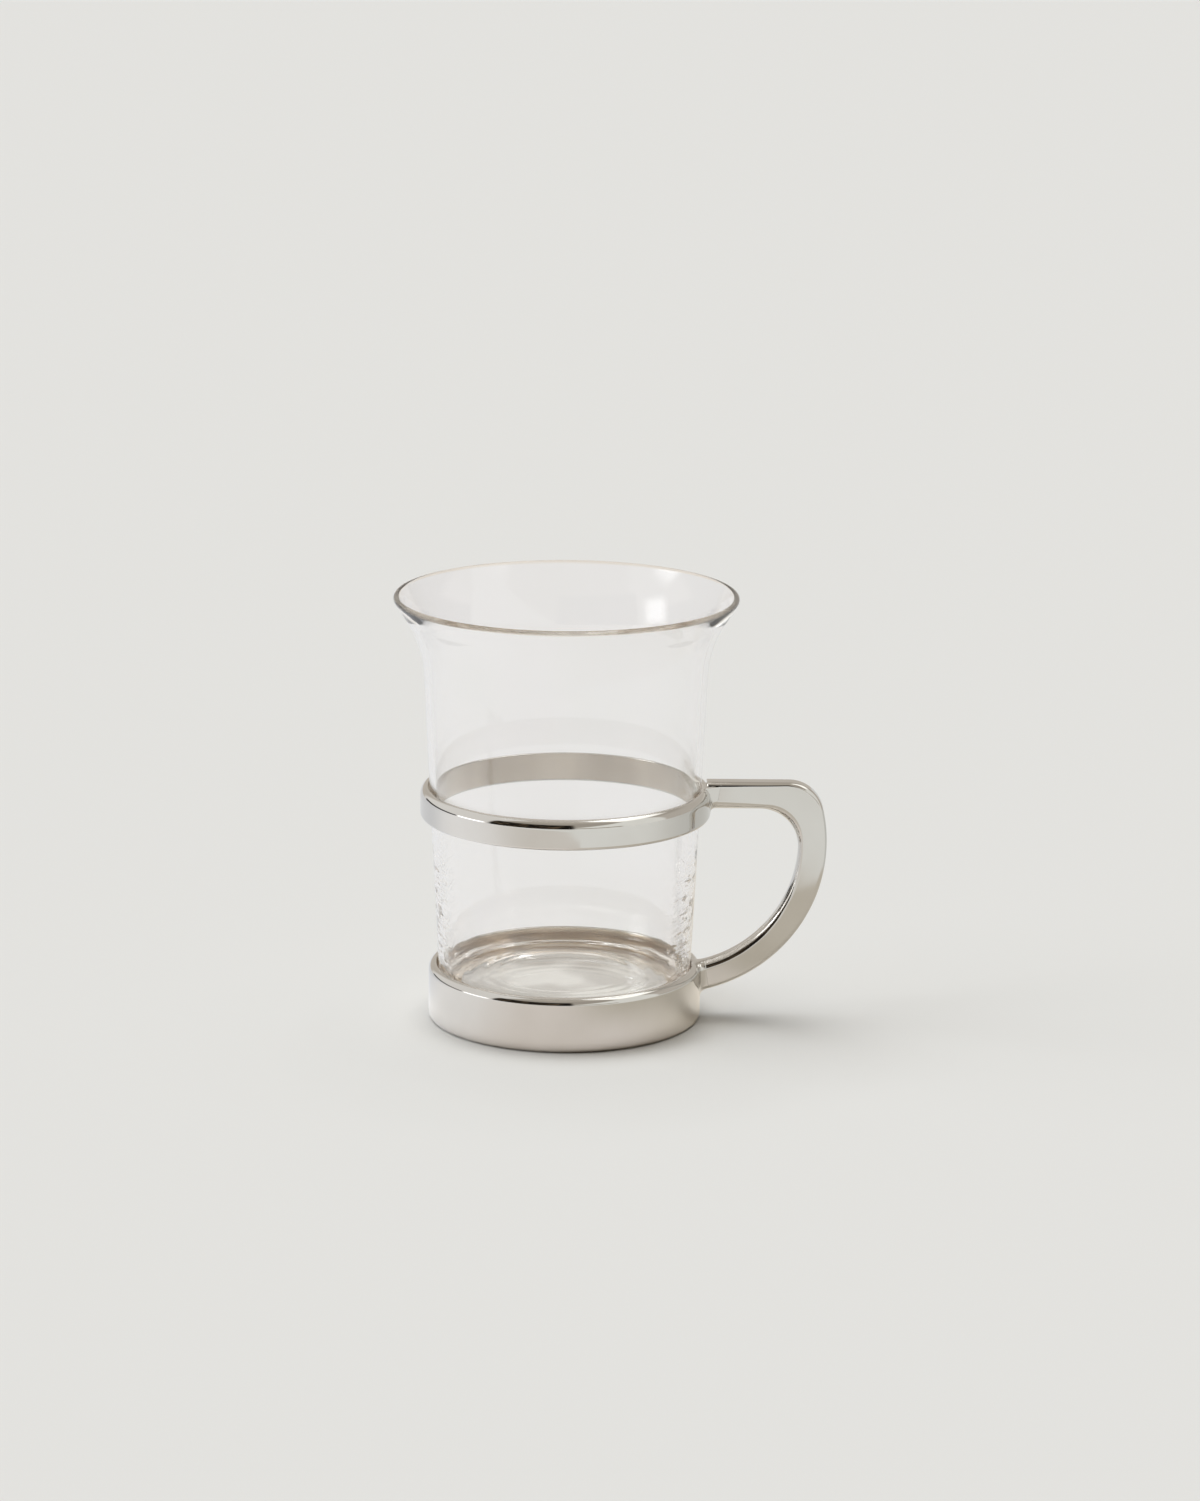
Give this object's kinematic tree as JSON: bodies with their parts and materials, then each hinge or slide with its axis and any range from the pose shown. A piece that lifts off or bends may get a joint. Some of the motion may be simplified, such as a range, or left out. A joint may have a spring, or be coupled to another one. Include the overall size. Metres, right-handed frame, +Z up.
{
  "type": "tea glass in a metal holder",
  "caption": "Flared glass beaker standing in a polished metal holder: a base ring with a ledge, an upper ring and a bow handle brazed to both. The glass lifts out.",
  "frame": {"origin": "on the table, under the middle of the whole object's box, 11.5 mm from the glass axis towards the handle", "axes": "+Z up along the glass axis, +X from the glass towards the handle, +Y across the handle"},
  "size_m": [0.1102, 0.0872, 0.11],
  "materials": {
    "polished_metal": "mirror polished outside, fine turning lines inside the rings",
    "clear_glass": "clear, smooth above, slightly wavy below the upper ring"
  },
  "bodies": {
    "holder": {"base_ring": "polished_metal", "upper_ring": "polished_metal", "handle": "polished_metal", "upper_braze_fillet": "polished_metal", "lower_braze_fillet": "polished_metal"},
    "glass": {"glass_beaker": "clear_glass"}
  },
  "joints": [
    {"name": "glass_lift", "type": "slide", "parent": "holder", "child": "glass", "axis": [0, 0, 1], "range_m": [0, 0.075]}
  ]
}
